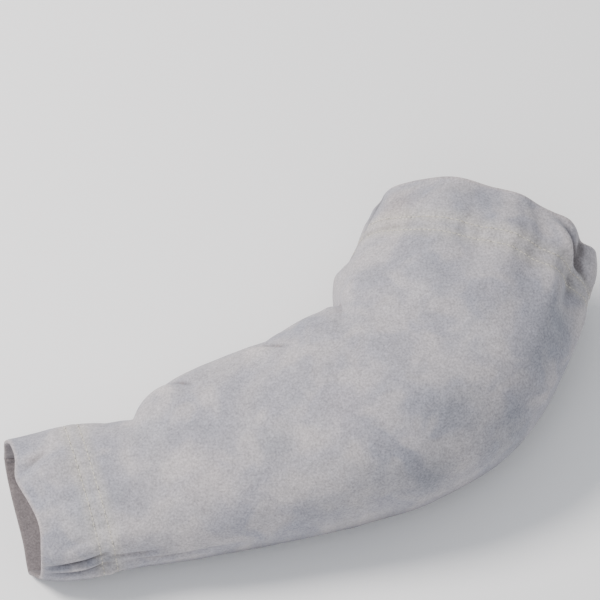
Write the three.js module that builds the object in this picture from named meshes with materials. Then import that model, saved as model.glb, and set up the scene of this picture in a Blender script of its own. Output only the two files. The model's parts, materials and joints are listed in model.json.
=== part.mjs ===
// Welding sleeve of split cowhide, gathered with elastic at the wrist and at the upper arm.
// It lies on its side on a flat surface, bent at the elbow, and keeps its hollow form.
// Millimetres. The forearm runs along +X, the inside of the bend faces +Y, and +Z is up.

import * as THREE from "three";

// Lengths on the centre line of the arm
const FOREARM_LENGTH = 252;
const UPPER_ARM_LENGTH = 60;

// The bend of the elbow, and the way the forearm lies
const ELBOW_BEND = 58;
const ELBOW_INSIDE_RADIUS = 11;
const FOREARM_ANGLE = 12.5;

// Overall size of a section: across the elbow, and up from the surface
const WIDTH = 188;
const HEIGHT = 134;
const SETTLED_SHARE = 0.07;

// Leather, and the room that lies between two layers of it
const LEATHER = 1.4;
const LAYER_GAP = 0.3;

// Elastic in the hems
const ELASTIC_WIDTH = 6;
const ELASTIC_THICKNESS = 1;
const ELASTIC_CLEARANCE = 0.3;
const HEM_EDGE = 5;
const WRIST_ELASTIC_SET = 51;
const ARM_ELASTIC_SET = 39;

// The wrist rim is set back on its upper side
const WRIST_SLANT = 9;
const WRIST_SLANT_REACH = 70;

// Fineness of the facets
const COLUMNS = 56;
const WALL_STEP = 16;
const FOLD_STEPS = 3;

// Roundness of a section: 2 is an ellipse, more is squarer
const FULLNESS = 2.35;

// Sections. Place counts the stretches: 0 to 1 forearm, 1 to 2 elbow, 2 to 3 upper arm.
// Inner and outer are half-widths on each side of the centre line, as shares of WIDTH.
// High is a share of HEIGHT.
const SECTIONS = [
  { place: 0.00, inner: 0.270, outer: 0.275, high: 0.55 },
  { place: 0.07, inner: 0.250, outer: 0.315, high: 0.60 },
  { place: 0.13, inner: 0.240, outer: 0.335, high: 0.63 },
  { place: 0.20, inner: 0.230, outer: 0.348, high: 0.65 },
  { place: 0.30, inner: 0.205, outer: 0.365, high: 0.68 },
  { place: 0.38, inner: 0.225, outer: 0.382, high: 0.71 },
  { place: 0.49, inner: 0.258, outer: 0.408, high: 0.77 },
  { place: 0.62, inner: 0.280, outer: 0.433, high: 0.83 },
  { place: 0.75, inner: 0.290, outer: 0.452, high: 0.90 },
  { place: 0.90, inner: 0.325, outer: 0.468, high: 0.97 },
  { place: 1.02, inner: 0.355, outer: 0.472, high: 1.00 },
  { place: 1.18, inner: 0.405, outer: 0.475, high: 1.02 },
  { place: 1.48, inner: 0.455, outer: 0.488, high: 1.03 },
  { place: 1.80, inner: 0.455, outer: 0.478, high: 1.03 },
  { place: 2.20, inner: 0.435, outer: 0.485, high: 1.03 },
  { place: 2.70, inner: 0.420, outer: 0.485, high: 1.02 },
  { place: 3.00, inner: 0.405, outer: 0.468, high: 0.98 },
];

// Creases and dents. Turn goes round a section: 0 inside of the bend, 0.25 top, 0.5 outer side.
// Depth, before and after are shares of WIDTH, before and after being the reach along the arm.
// Spread is the reach around, in turns.
const DENTS = [
  { place: 0.370, turn: 0.04, depth: 0.095, before: 0.060, after: 0.030, spread: 0.11 },
  { place: 0.470, turn: 0.02, depth: 0.014, before: 0.040, after: 0.040, spread: 0.07 },
  { place: 0.785, turn: 0.01, depth: 0.032, before: 0.060, after: 0.030, spread: 0.08 },
  { place: 1.040, turn: 0.01, depth: 0.060, before: 0.080, after: 0.045, spread: 0.09 },
  { place: 0.300, turn: 0.16, depth: 0.016, before: 0.110, after: 0.080, spread: 0.08 },
  { place: 0.840, turn: 0.13, depth: 0.016, before: 0.100, after: 0.090, spread: 0.07 },
  { place: 1.250, turn: 0.20, depth: 0.012, before: 0.150, after: 0.120, spread: 0.09 },
];

// Gathers that each elastic draws in, around its rim. Waist and depth are in millimetres:
// how far the elastic pulls the leather in, and how deep the waves are. Front is their share
// on the side away from the deep gathers, and deepest is the turn where they are deepest.
const GATHERS = {
  wrist: { count: 10, waist: 1.5, depth: 1.6, reach: 26, rim: 0.75, front: 0.45, deepest: 0.58 },
  arm: { count: 11, waist: 4.5, depth: 3.4, reach: 34, rim: 0.85, front: 0.24, deepest: 0.52 },
};
const WAIST_REACH = 10;
const GATHER_WANDER = 0.014;
const GATHER_WANDER_WAVES = 3;
const GATHER_SPREAD = 0.24;

const LEATHER_FINISH = { color: 0xb4b4b8, roughness: 0.95, metalness: 0 };
const ELASTIC_FINISH = { color: 0xe6e4de, roughness: 0.85, metalness: 0 };

const FULL_TURN = 2 * Math.PI;

// Centre line: a straight forearm, an arc at the elbow and a straight upper arm
const bend = THREE.MathUtils.degToRad(ELBOW_BEND);
const forearmAngle = THREE.MathUtils.degToRad(FOREARM_ANGLE);
const elbowRadius = WIDTH / 2 + ELBOW_INSIDE_RADIUS;
const elbowLength = elbowRadius * bend;
const armLength = FOREARM_LENGTH + elbowLength + UPPER_ARM_LENGTH;

// Thickness of a hem at the rim, where the leather turns back on itself
const foldThickness = 2 * LEATHER + LAYER_GAP;
const foldRadius = foldThickness / 2;

function headingAt(angle) {
  return new THREE.Vector3(Math.cos(angle), Math.sin(angle), 0);
}

function inwardOf(heading) {
  return new THREE.Vector3(-heading.y, heading.x, 0);
}

function centreLineAt(distance) {
  const start = headingAt(forearmAngle);
  if (distance <= FOREARM_LENGTH) {
    return { point: start.clone().multiplyScalar(distance), heading: start };
  }
  const past = distance - FOREARM_LENGTH;
  const turned = Math.min(past / elbowRadius, bend);
  const heading = headingAt(forearmAngle + turned);
  const point = start.clone().multiplyScalar(FOREARM_LENGTH);
  point.addScaledVector(inwardOf(start), elbowRadius);
  point.addScaledVector(inwardOf(heading), -elbowRadius);
  point.addScaledVector(heading, Math.max(past - elbowLength, 0));
  return { point, heading };
}

function placeAt(distance) {
  if (distance <= FOREARM_LENGTH) {
    return distance / FOREARM_LENGTH;
  }
  const past = distance - FOREARM_LENGTH;
  if (past <= elbowLength) {
    return 1 + past / elbowLength;
  }
  return 2 + (past - elbowLength) / UPPER_ARM_LENGTH;
}

function distanceAt(place) {
  const forearm = Math.min(place, 1) * FOREARM_LENGTH;
  const elbow = THREE.MathUtils.clamp(place - 1, 0, 1) * elbowLength;
  const upperArm = Math.max(place - 2, 0) * UPPER_ARM_LENGTH;
  return forearm + elbow + upperArm;
}

// Value of one column of the sections at a place, with no overshoot between the rows
function sectionValue(column, place) {
  const last = SECTIONS.length - 1;
  let row = 0;
  while (row < last - 1 && SECTIONS[row + 1].place <= place) {
    row += 1;
  }
  const span = SECTIONS[row + 1].place - SECTIONS[row].place;
  const share = THREE.MathUtils.clamp((place - SECTIONS[row].place) / span, 0, 1);
  const from = SECTIONS[row][column];
  const to = SECTIONS[row + 1][column];
  const leaving = slopeAtRow(column, row) * span;
  const arriving = slopeAtRow(column, row + 1) * span;
  const back = 1 - share;
  const ends = from * back * back * (1 + 2 * share) + to * share * share * (1 + 2 * back);
  return ends + leaving * share * back * back - arriving * share * share * back;
}

function slopeAtRow(column, row) {
  const rise = (low) => {
    const run = SECTIONS[low + 1].place - SECTIONS[low].place;
    return (SECTIONS[low + 1][column] - SECTIONS[low][column]) / run;
  };
  if (row === 0) {
    return rise(0);
  }
  if (row === SECTIONS.length - 1) {
    return rise(row - 1);
  }
  const before = rise(row - 1);
  const after = rise(row);
  return before * after <= 0 ? 0 : (2 * before * after) / (before + after);
}

function bell(value) {
  return Math.exp(-value * value);
}

function turnsBetween(one, other) {
  const difference = one - other;
  return difference - Math.round(difference);
}

function dentDepthAt(distance, turn) {
  let total = 0;
  for (const dent of DENTS) {
    const along = distance - distanceAt(dent.place);
    const reach = (along < 0 ? dent.before : dent.after) * WIDTH;
    const around = turnsBetween(turn, dent.turn) / dent.spread;
    total += dent.depth * WIDTH * Math.exp(-Math.abs(along) / reach) * bell(around);
  }
  return total;
}

function gatherDepthAt(fromRim, elasticSet, gather, turn) {
  const past = fromRim - elasticSet;
  const towardsRim = THREE.MathUtils.lerp(gather.rim, 1, Math.max(fromRim, 0) / elasticSet);
  const fade = past < 0 ? towardsRim : bell(past / gather.reach);
  const wander = GATHER_WANDER * Math.sin(FULL_TURN * GATHER_WANDER_WAVES * turn);
  const wave = Math.cos(FULL_TURN * gather.count * (turn - gather.deepest + wander));
  const side = bell(turnsBetween(turn, gather.deepest) / GATHER_SPREAD);
  const strength = THREE.MathUtils.lerp(gather.front, 1, side);
  const waist = gather.waist * bell(past / WAIST_REACH);
  return strength * (waist + gather.depth * fade * wave);
}

// How far the leather lies inside its plain section, from dents and gathers
function drawnInAt(distance, turn) {
  const atWrist = gatherDepthAt(distance, WRIST_ELASTIC_SET, GATHERS.wrist, turn);
  const atArm = gatherDepthAt(armLength - distance, ARM_ELASTIC_SET, GATHERS.arm, turn);
  return dentDepthAt(distance, turn) + atWrist + atArm;
}

// A point on the outside of the leather. The lowest part is pressed flat on the surface.
function outsideAt(distance, turn) {
  const cosine = Math.cos(FULL_TURN * turn);
  const sine = Math.sin(FULL_TURN * turn);
  const power = Math.abs(cosine) ** FULLNESS + Math.abs(sine) ** FULLNESS;
  const round = power ** (-1 / FULLNESS);
  const setBack = (WRIST_SLANT * (1 + sine)) / 2;
  const slantFade = bell((2 * distance) / WRIST_SLANT_REACH);
  const along = distance + setBack * slantFade;
  const { point, heading } = centreLineAt(along);
  const place = placeAt(along);
  const halfWidth = WIDTH * sectionValue(cosine > 0 ? "inner" : "outer", place);
  const height = HEIGHT * sectionValue("high", place);
  const drawnIn = drawnInAt(along, turn);
  const across = halfWidth * cosine * round - drawnIn * cosine;
  const rise = (height / 2) * sine * round - drawnIn * sine;
  point.addScaledVector(inwardOf(heading), across);
  point.z = Math.max(rise + height / 2 - SETTLED_SHARE * height, 0);
  return point;
}

function outwardAt(distance, turn) {
  const alongStep = LEATHER / 2;
  const turnStep = alongStep / WIDTH;
  const around = outsideAt(distance, turn + turnStep).sub(outsideAt(distance, turn - turnStep));
  const along = outsideAt(distance + alongStep, turn).sub(outsideAt(distance - alongStep, turn));
  return around.cross(along).normalize();
}

// A point at a depth under the outside, measured square to the leather
function underAt(distance, turn, depth) {
  return outsideAt(distance, turn).addScaledVector(outwardAt(distance, turn), -depth);
}

// Room between the wall and its turned hem: wide over the elastic, a layer gap elsewhere
function hemGapAt(fromRim, elasticSet) {
  const besideElastic = Math.abs(fromRim - elasticSet) - ELASTIC_WIDTH / 2;
  const lift = THREE.MathUtils.clamp(1 - besideElastic / HEM_EDGE, 0, 1);
  const tunnel = ELASTIC_THICKNESS + 2 * ELASTIC_CLEARANCE;
  return THREE.MathUtils.lerp(LAYER_GAP, tunnel, lift);
}

// Distances from a rim at which its hem has a row of vertices, out to the raw edge
function hemRows(elasticSet) {
  const half = ELASTIC_WIDTH / 2;
  const rise = elasticSet - half - HEM_EDGE;
  return [foldRadius, (foldRadius + rise) / 2, rise, elasticSet - half, elasticSet + half,
    elasticSet + half + HEM_EDGE];
}

// Rows of the wall between the two hems, with one on each crease
function wallRows() {
  const wristEdge = hemRows(WRIST_ELASTIC_SET).at(-1);
  const armEdge = armLength - hemRows(ARM_ELASTIC_SET).at(-1);
  const creases = DENTS.filter((dent) => dent.turn < dent.spread && dent.depth > LEATHER / WIDTH)
    .map((dent) => distanceAt(dent.place))
    .filter((distance) => distance > wristEdge && distance < armEdge);
  const stops = [wristEdge, ...creases, armEdge];
  const rows = [];
  for (let stop = 0; stop < stops.length - 1; stop += 1) {
    const span = stops[stop + 1] - stops[stop];
    const steps = Math.max(Math.round(span / WALL_STEP), 1);
    for (let step = stop === 0 ? 1 : 0; step < steps; step += 1) {
      rows.push(stops[stop] + (span * step) / steps);
    }
  }
  return rows;
}

// The leather's way round one rim: the fold, the hem, its raw edge and back under the hem.
// Each row has a distance from that rim and a depth under the outside of the leather.
function hemProfile(elasticSet) {
  const rows = hemRows(elasticSet);
  const fold = [];
  for (let step = 1; step < FOLD_STEPS; step += 1) {
    const angle = (Math.PI * step) / FOLD_STEPS;
    const fromRim = foldRadius * (1 - Math.sin(angle));
    fold.push({ fromRim, depth: foldRadius * (1 - Math.cos(angle)) });
  }
  const inside = rows.map((fromRim) => {
    return { fromRim, depth: 2 * LEATHER + hemGapAt(fromRim, elasticSet) };
  });
  const under = rows.map((fromRim) => {
    return { fromRim, depth: LEATHER + hemGapAt(fromRim, elasticSet) };
  });
  return [...fold, ...inside, ...under.reverse()];
}

// The whole closed way round the leather: outside, arm hem, lining side, wrist hem
function leatherProfile() {
  const wristRows = hemRows(WRIST_ELASTIC_SET);
  const armRows = hemRows(ARM_ELASTIC_SET).map((fromRim) => armLength - fromRim).reverse();
  const outside = [...wristRows, ...wallRows(), ...armRows];
  const fromWrist = hemProfile(WRIST_ELASTIC_SET).reverse();
  const fromArm = hemProfile(ARM_ELASTIC_SET);
  return [
    ...outside.map((distance) => ({ distance, depth: 0 })),
    ...fromArm.map(({ fromRim, depth }) => ({ distance: armLength - fromRim, depth })),
    ...outside.map((distance) => ({ distance, depth: LEATHER })).reverse(),
    ...fromWrist.map(({ fromRim, depth }) => ({ distance: fromRim, depth })),
  ];
}

// The closed way round a flat elastic band
function elasticProfile(distance) {
  const half = ELASTIC_WIDTH / 2;
  const outside = LEATHER + ELASTIC_CLEARANCE;
  const inside = outside + ELASTIC_THICKNESS;
  return [
    { distance: distance - half, depth: outside },
    { distance: distance + half, depth: outside },
    { distance: distance + half, depth: inside },
    { distance: distance - half, depth: inside },
  ];
}

// A closed ring: the profile carried once round the arm
function ringGeometry(profile) {
  const positions = [];
  for (const { distance, depth } of profile) {
    for (let column = 0; column < COLUMNS; column += 1) {
      positions.push(...underAt(distance, column / COLUMNS, depth).toArray());
    }
  }
  const faces = [];
  for (let row = 0; row < profile.length; row += 1) {
    const nextRow = (row + 1) % profile.length;
    for (let column = 0; column < COLUMNS; column += 1) {
      const nextColumn = (column + 1) % COLUMNS;
      const here = row * COLUMNS + column;
      const beside = row * COLUMNS + nextColumn;
      const ahead = nextRow * COLUMNS + column;
      const across = nextRow * COLUMNS + nextColumn;
      faces.push(here, beside, ahead, beside, across, ahead);
    }
  }
  const geometry = new THREE.BufferGeometry();
  geometry.setAttribute("position", new THREE.Float32BufferAttribute(positions, 3));
  geometry.setIndex(faces);
  geometry.computeVertexNormals();
  return geometry;
}

function namedMesh(name, profile, finish) {
  const material = new THREE.MeshStandardMaterial(finish);
  const mesh = new THREE.Mesh(ringGeometry(profile), material);
  mesh.name = name;
  return mesh;
}

const sleeve = new THREE.Group();
sleeve.add(namedMesh("sleeve_body", leatherProfile(), LEATHER_FINISH));
sleeve.add(namedMesh("wrist_elastic", elasticProfile(WRIST_ELASTIC_SET), ELASTIC_FINISH));
sleeve.add(namedMesh("arm_elastic", elasticProfile(armLength - ARM_ELASTIC_SET), ELASTIC_FINISH));

// The origin is under the middle of the sleeve, on the surface that it lies on
const bounds = new THREE.Box3().setFromObject(sleeve);
const middle = bounds.getCenter(new THREE.Vector3());
sleeve.position.set(-middle.x, -middle.y, 0);

export default sleeve;
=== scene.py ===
# %% [markdown]
# A welding sleeve of grey split cowhide lies on its side, bent at the elbow, with its two ends
# drawn in by elastic. The hard facts of it, its place and its size, come from a fixed frame that
# is loaded first. This script then makes the leather again with a mesh fine enough to crease,
# adds the stitches, gives each piece its finish, and sets the light and the camera.

import json
import math

import bpy
import numpy as np
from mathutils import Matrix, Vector, noise

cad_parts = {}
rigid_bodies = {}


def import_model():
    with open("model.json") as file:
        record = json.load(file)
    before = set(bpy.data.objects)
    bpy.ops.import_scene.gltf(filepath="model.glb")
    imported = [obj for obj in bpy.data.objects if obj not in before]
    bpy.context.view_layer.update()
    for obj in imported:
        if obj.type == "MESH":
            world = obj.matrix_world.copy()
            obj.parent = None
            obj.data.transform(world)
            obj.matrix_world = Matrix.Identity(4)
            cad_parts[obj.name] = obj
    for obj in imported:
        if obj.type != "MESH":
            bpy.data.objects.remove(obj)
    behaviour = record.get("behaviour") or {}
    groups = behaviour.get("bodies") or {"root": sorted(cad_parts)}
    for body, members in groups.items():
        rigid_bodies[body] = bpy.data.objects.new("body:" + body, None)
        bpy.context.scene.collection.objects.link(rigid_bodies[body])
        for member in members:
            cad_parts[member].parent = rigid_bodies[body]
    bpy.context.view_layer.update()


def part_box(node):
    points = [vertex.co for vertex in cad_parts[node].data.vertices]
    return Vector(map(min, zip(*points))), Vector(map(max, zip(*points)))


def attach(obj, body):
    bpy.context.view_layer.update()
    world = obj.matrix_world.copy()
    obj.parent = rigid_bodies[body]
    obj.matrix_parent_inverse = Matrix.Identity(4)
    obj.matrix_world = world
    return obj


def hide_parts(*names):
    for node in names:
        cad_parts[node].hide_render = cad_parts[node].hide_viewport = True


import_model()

# %% [markdown]
# The sleeve is a tube along a bent centre line. One could sculpt it, or drape a flat panel by
# simulation, but a sewn tube that keeps its form is quicker to describe by rules: a straight
# forearm, an arc for the elbow, a short upper arm, and a table of sections along them. Lengths
# in this part of the script are in millimetres, as on a maker's pattern.

# %% Sizes of the sleeve
MM = 0.001
FOREARM_LENGTH = 252.0
UPPER_ARM_LENGTH = 60.0
ELBOW_BEND = math.radians(58)
ELBOW_INSIDE_RADIUS = 11.0
FOREARM_ANGLE = math.radians(12.5)
WIDTH = 188.0
HEIGHT = 134.0
GIRTH_TO_WIDTH = 2.4
SETTLED_SHARE = 0.07
FULLNESS = 2.35

LEATHER = 1.4
LAYER_GAP = 0.3
ELASTIC_WIDTH = 6.0
ELASTIC_THICKNESS = 1.0
ELASTIC_CLEARANCE = 0.3
HEM_EDGE = 5.0
WRIST_ELASTIC_SET = 51.0
ARM_ELASTIC_SET = 39.0
WRIST_SLANT = 9.0
WRIST_SLANT_REACH = 70.0

elbow_radius = WIDTH / 2 + ELBOW_INSIDE_RADIUS
elbow_length = elbow_radius * ELBOW_BEND
arm_length = FOREARM_LENGTH + elbow_length + UPPER_ARM_LENGTH
middle_girth = GIRTH_TO_WIDTH * WIDTH
fold_radius = (2 * LEATHER + LAYER_GAP) / 2
print("length on the centre line:", round(arm_length), "mm")

# %% [markdown]
# Each row of this table is a section. Place counts the stretches: 0 to 1 along the forearm,
# 1 to 2 round the elbow, 2 to 3 along the upper arm. Inner and outer are half-widths on the two
# sides of the centre line, as shares of the width, and high is a share of the height. A smooth
# curve through the rows gives every section between them.

# %% Sections along the arm
SECTION_COLUMNS = ("place", "inner", "outer", "high")
SECTIONS = np.array([
    (0.00, 0.270, 0.275, 0.55),
    (0.07, 0.250, 0.315, 0.60),
    (0.13, 0.240, 0.335, 0.63),
    (0.20, 0.230, 0.348, 0.65),
    (0.30, 0.205, 0.365, 0.68),
    (0.38, 0.225, 0.382, 0.71),
    (0.49, 0.258, 0.408, 0.77),
    (0.62, 0.280, 0.433, 0.83),
    (0.75, 0.290, 0.452, 0.90),
    (0.90, 0.325, 0.468, 0.97),
    (1.02, 0.355, 0.472, 1.00),
    (1.18, 0.405, 0.475, 1.02),
    (1.48, 0.455, 0.488, 1.03),
    (1.80, 0.455, 0.478, 1.03),
    (2.20, 0.435, 0.485, 1.03),
    (2.70, 0.420, 0.485, 1.02),
    (3.00, 0.405, 0.468, 0.98),
])
print("the tube follows", len(SECTIONS), "sections")


def slopes_of(places, values):
    """Slope at each row, flat at a peak, so that the curve never overshoots its rows."""
    rises = np.diff(values) / np.diff(places)
    before, after = rises[:-1], rises[1:]
    together = before * after > 0
    total = np.where(together, before + after, 1)
    middle = np.where(together, 2 * before * after / total, 0)
    return np.concatenate([rises[:1], middle, rises[-1:]])


def section_value(column, place):
    """Reads one column of the table at any place, on a smooth curve through its rows."""
    places = SECTIONS[:, 0]
    values = SECTIONS[:, SECTION_COLUMNS.index(column)]
    slopes = slopes_of(places, values)
    row = np.clip(np.searchsorted(places, place, side="right") - 1, 0, len(places) - 2)
    span = places[row + 1] - places[row]
    share = np.clip((place - places[row]) / span, 0, 1)
    back = 1 - share
    ends = values[row] * back**2 * (1 + 2 * share) + values[row + 1] * share**2 * (1 + 2 * back)
    leaving = slopes[row] * span * share * back**2
    arriving = slopes[row + 1] * span * share**2 * back
    return ends + leaving - arriving


def place_at(distance):
    past = distance - FOREARM_LENGTH
    on_elbow = 1 + past / elbow_length
    on_upper_arm = 2 + (past - elbow_length) / UPPER_ARM_LENGTH
    place = np.where(past <= 0, distance / FOREARM_LENGTH, on_elbow)
    return np.where(past > elbow_length, on_upper_arm, place)


def distance_at(place):
    forearm = min(place, 1) * FOREARM_LENGTH
    elbow = min(max(place - 1, 0), 1) * elbow_length
    return forearm + elbow + max(place - 2, 0) * UPPER_ARM_LENGTH


def centre_line(distance):
    """Point and direction of the centre line, as arrays of x and y."""
    past = distance - FOREARM_LENGTH
    angle = FOREARM_ANGLE + np.clip(past / elbow_radius, 0, ELBOW_BEND)
    straight = np.minimum(distance, FOREARM_LENGTH)
    after = np.maximum(past - elbow_length, 0)
    start_x, start_y = math.cos(FOREARM_ANGLE), math.sin(FOREARM_ANGLE)
    x = start_x * straight + elbow_radius * (np.sin(angle) - start_y) + after * np.cos(angle)
    y = start_y * straight + elbow_radius * (start_x - np.cos(angle)) + after * np.sin(angle)
    return x, y, np.cos(angle), np.sin(angle)


# %% [markdown]
# Leather creases where the arm would bend and gathers where elastic draws it in. The first table
# holds the broad dents that give the outline, the second the gathers. The third holds the finer
# creases that only a close look shows: each is a line drawn on the leather from one spot to
# another, a valley where its depth is positive and a ridge where it is negative. The last moves
# a stretch of a rim along the arm, because no rim of soft leather lies quite straight.

# %% Dents, gathers and creases
DENT_COLUMNS = ("place", "turn", "depth", "before", "after", "spread")
DENTS = [
    (0.370, 0.04, 0.095, 0.060, 0.030, 0.11),
    (0.470, 0.02, 0.014, 0.040, 0.040, 0.07),
    (0.785, 0.01, 0.032, 0.060, 0.030, 0.08),
    (1.040, 0.01, 0.060, 0.080, 0.045, 0.09),
    (0.300, 0.16, 0.016, 0.110, 0.080, 0.08),
    (0.840, 0.13, 0.016, 0.100, 0.090, 0.07),
    (1.250, 0.20, 0.012, 0.150, 0.120, 0.09),
]
WRIST_GATHER = dict(count=10, waist=1.5, depth=1.6, reach=26, rim=0.75, front=0.45, deepest=0.58)
ARM_GATHER = dict(count=11, waist=4.5, depth=3.4, reach=34, rim=0.85, front=0.24, deepest=0.52)
WAIST_REACH = 10.0
GATHER_WANDER = 0.014
GATHER_WANDER_WAVES = 3
GATHER_SPREAD = 0.24
CREASE_TAPER = 0.12

CREASE_COLUMNS = ("distance", "turn", "to_distance", "to_turn", "depth", "width")
CREASES = [
    (0, 0.232, 27, 0.186, 2.6, 6.0),
    (4, 0.270, 30, 0.230, -1.2, 7.0),
    (12, 0.325, 44, 0.308, 1.6, 6.0),
    (20, 0.405, 50, 0.392, 1.6, 5.0),
    (10, 0.375, 40, 0.352, -1.2, 7.0),
    (8, 0.470, 50, 0.448, 4.4, 3.6),
    (6, 0.486, 46, 0.476, -2.2, 4.0),
    (8, 0.506, 52, 0.498, 4.2, 3.6),
    (38, 0.530, 58, 0.524, -2.6, 5.0),
    (50, 0.466, 96, 0.474, 2.2, 4.0),
    (58, 0.500, 128, 0.500, 2.4, 4.4),
    (16, 0.570, 66, 0.562, 2.6, 3.2),
    (22, 0.625, 74, 0.615, 2.2, 3.0),
    (122, 0.090, 139, 0.172, 3.4, 2.8),
    (112, 0.100, 126, 0.180, -2.0, 7.0),
    (188, 0.105, 208, 0.175, 3.4, 2.8),
    (180, 0.120, 196, 0.170, -1.6, 7.0),
    (262, 0.070, 246, 0.185, 2.2, 3.4),
    (252, 0.060, 240, 0.140, -0.9, 4.0),
    (374, 0.040, 379, 0.175, 2.0, 3.0),
    (394, 0.050, 416, 0.080, 4.0, 18.0),
    (330, 0.030, 372, 0.050, 3.0, 20.0),
    (400, 0.120, 410, 0.190, 0.9, 5.0),
    (412, 0.315, 382, 0.340, -1.2, 4.5),
    (417, 0.358, 390, 0.425, 3.8, 4.0),
    (399, 0.395, 384, 0.480, 3.0, 4.0),
    (412, 0.342, 386, 0.405, -2.2, 3.8),
    (392, 0.402, 376, 0.470, -1.6, 3.8),
    (372, 0.500, 392, 0.492, -4.5, 11.0),
    (417, 0.424, 398, 0.418, 4.0, 5.0),
    (412, 0.484, 392, 0.486, 2.0, 4.0),
    (384, 0.300, 382, 0.345, -2.4, 9.0),
    (388, 0.330, 386, 0.372, 0.9, 1.7),
    (378, 0.328, 377, 0.372, 1.0, 1.7),
    (369, 0.335, 367, 0.368, 0.8, 1.7),
    (376, 0.420, 352, 0.400, 1.4, 5.0),
    (372, 0.470, 340, 0.455, 1.4, 5.0),
]

RIM_COLUMNS = ("rim", "turn", "shift", "spread", "reach")
RIM_SHIFTS = [
    ("wrist", 0.240, -4.5, 0.045, 18.0),
    ("wrist", 0.350, 3.0, 0.045, 20.0),
    ("wrist", 0.620, -4.0, 0.070, 20.0),
    ("arm", 0.240, 6.0, 0.110, 30.0),
    ("arm", 0.425, -3.0, 0.020, 12.0),
]
print(len(DENTS), "dents,", len(CREASES), "creases,", len(RIM_SHIFTS), "shifts of a rim")


def bell(value):
    return np.exp(-value * value)


def turns_between(one, other):
    difference = one - other
    return difference - np.round(difference)


def dent_depth(distance, turn):
    total = np.zeros_like(distance)
    for row in DENTS:
        dent = dict(zip(DENT_COLUMNS, row))
        along = distance - distance_at(dent["place"])
        reach = np.where(along < 0, dent["before"], dent["after"]) * WIDTH
        around = turns_between(turn, dent["turn"]) / dent["spread"]
        total += dent["depth"] * WIDTH * np.exp(-np.abs(along) / reach) * bell(around)
    return total


def gather_depth(from_rim, elastic_set, gather, turn):
    past = from_rim - elastic_set
    towards_rim = gather["rim"] + (1 - gather["rim"]) * np.maximum(from_rim, 0) / elastic_set
    fade = np.where(past < 0, towards_rim, bell(past / gather["reach"]))
    wander = GATHER_WANDER * np.sin(math.tau * GATHER_WANDER_WAVES * turn)
    wave = np.cos(math.tau * gather["count"] * (turn - gather["deepest"] + wander))
    side = bell(turns_between(turn, gather["deepest"]) / GATHER_SPREAD)
    strength = gather["front"] + (1 - gather["front"]) * side
    waist = gather["waist"] * bell(past / WAIST_REACH)
    return strength * (waist + gather["depth"] * fade * wave)


def crease_depth(distance, turn):
    """Each crease is a line on the leather, with a soft cross-section and tapered ends."""
    total = np.zeros_like(distance)
    for row in CREASES:
        crease = dict(zip(CREASE_COLUMNS, row))
        run = crease["to_distance"] - crease["distance"]
        climb = (crease["to_turn"] - crease["turn"]) * middle_girth
        along = distance - crease["distance"]
        around = turns_between(turn, crease["turn"]) * middle_girth
        length = math.hypot(run, climb)
        share = np.clip((along * run + around * climb) / length**2, 0, 1)
        off = np.hypot(along - share * run, around - share * climb)
        taper = np.sin(np.pi * (CREASE_TAPER + (1 - 2 * CREASE_TAPER) * share))
        total += crease["depth"] * taper * bell(off / crease["width"])
    return total


# %% [markdown]
# A thread pulled tight sinks a line into soft leather, and between two such rows the elastic
# puckers it into short waves. Those are rules as well: a narrow groove at each stitch row, and
# two quick waves around the arm that fade a finger's width away from the elastic. Each wave sways
# a little, so that no two puckers are alike. The closing seam is a groove in a low swell.

# %% Stitch rows and puckers
WRIST_ROW_OFFSET = 5.0
ARM_ROW_OFFSET = 5.0
ROW_GROOVE_DEPTH = 0.45
ROW_GROOVE_WIDTH = 1.3
PUCKER_DEPTH = 0.5
PUCKER_REACH = 11.0
PUCKER_COLUMNS = ("count", "sway", "sway_count", "share")
PUCKERS = [
    (37, 2.0, 4, 0.6),
    (53, 1.3, 7, 0.4),
]
SEAM_TURN = 0.935
SEAM_GROOVE_DEPTH = 1.0
SEAM_GROOVE_WIDTH = 1.8
SEAM_SWELL = 0.5
SEAM_SWELL_WIDTH = 6.0
print("puckers around the arm:", [row[0] for row in PUCKERS])


def hem_detail(from_rim, elastic_set, row_offset, turn):
    past = from_rim - elastic_set
    near_row = np.abs(np.abs(past) - row_offset)
    groove = ROW_GROOVE_DEPTH * bell(near_row / ROW_GROOVE_WIDTH)
    wave = np.zeros_like(turn)
    for row in PUCKERS:
        pucker = dict(zip(PUCKER_COLUMNS, row))
        sway = pucker["sway"] * np.sin(math.tau * pucker["sway_count"] * turn)
        wave += pucker["share"] * np.cos(math.tau * pucker["count"] * turn + sway)
    return groove + PUCKER_DEPTH * wave * bell(past / PUCKER_REACH)


def seam_detail(turn):
    off = turns_between(turn, SEAM_TURN) * middle_girth
    groove = SEAM_GROOVE_DEPTH * bell(off / SEAM_GROOVE_WIDTH)
    return groove - SEAM_SWELL * bell(off / SEAM_SWELL_WIDTH)


def gathers(distance, turn):
    wrist = gather_depth(distance, WRIST_ELASTIC_SET, WRIST_GATHER, turn)
    return wrist + gather_depth(arm_length - distance, ARM_ELASTIC_SET, ARM_GATHER, turn)


def fine_detail(distance, turn):
    """Creases, stitch rows and the closing seam."""
    wrist = hem_detail(distance, WRIST_ELASTIC_SET, WRIST_ROW_OFFSET, turn)
    arm = hem_detail(arm_length - distance, ARM_ELASTIC_SET, ARM_ROW_OFFSET, turn)
    return crease_depth(distance, turn) + wrist + arm + seam_detail(turn)


def rim_shift(distance, turn):
    """How far the leather near a rim lies further along the arm than its plain cut."""
    total = np.zeros_like(distance)
    for row in RIM_SHIFTS:
        shift = dict(zip(RIM_COLUMNS, row))
        from_rim = distance if shift["rim"] == "wrist" else arm_length - distance
        around = bell(turns_between(turn, shift["turn"]) / shift["spread"])
        total += shift["shift"] * around * bell(from_rim / shift["reach"])
    return total


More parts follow.
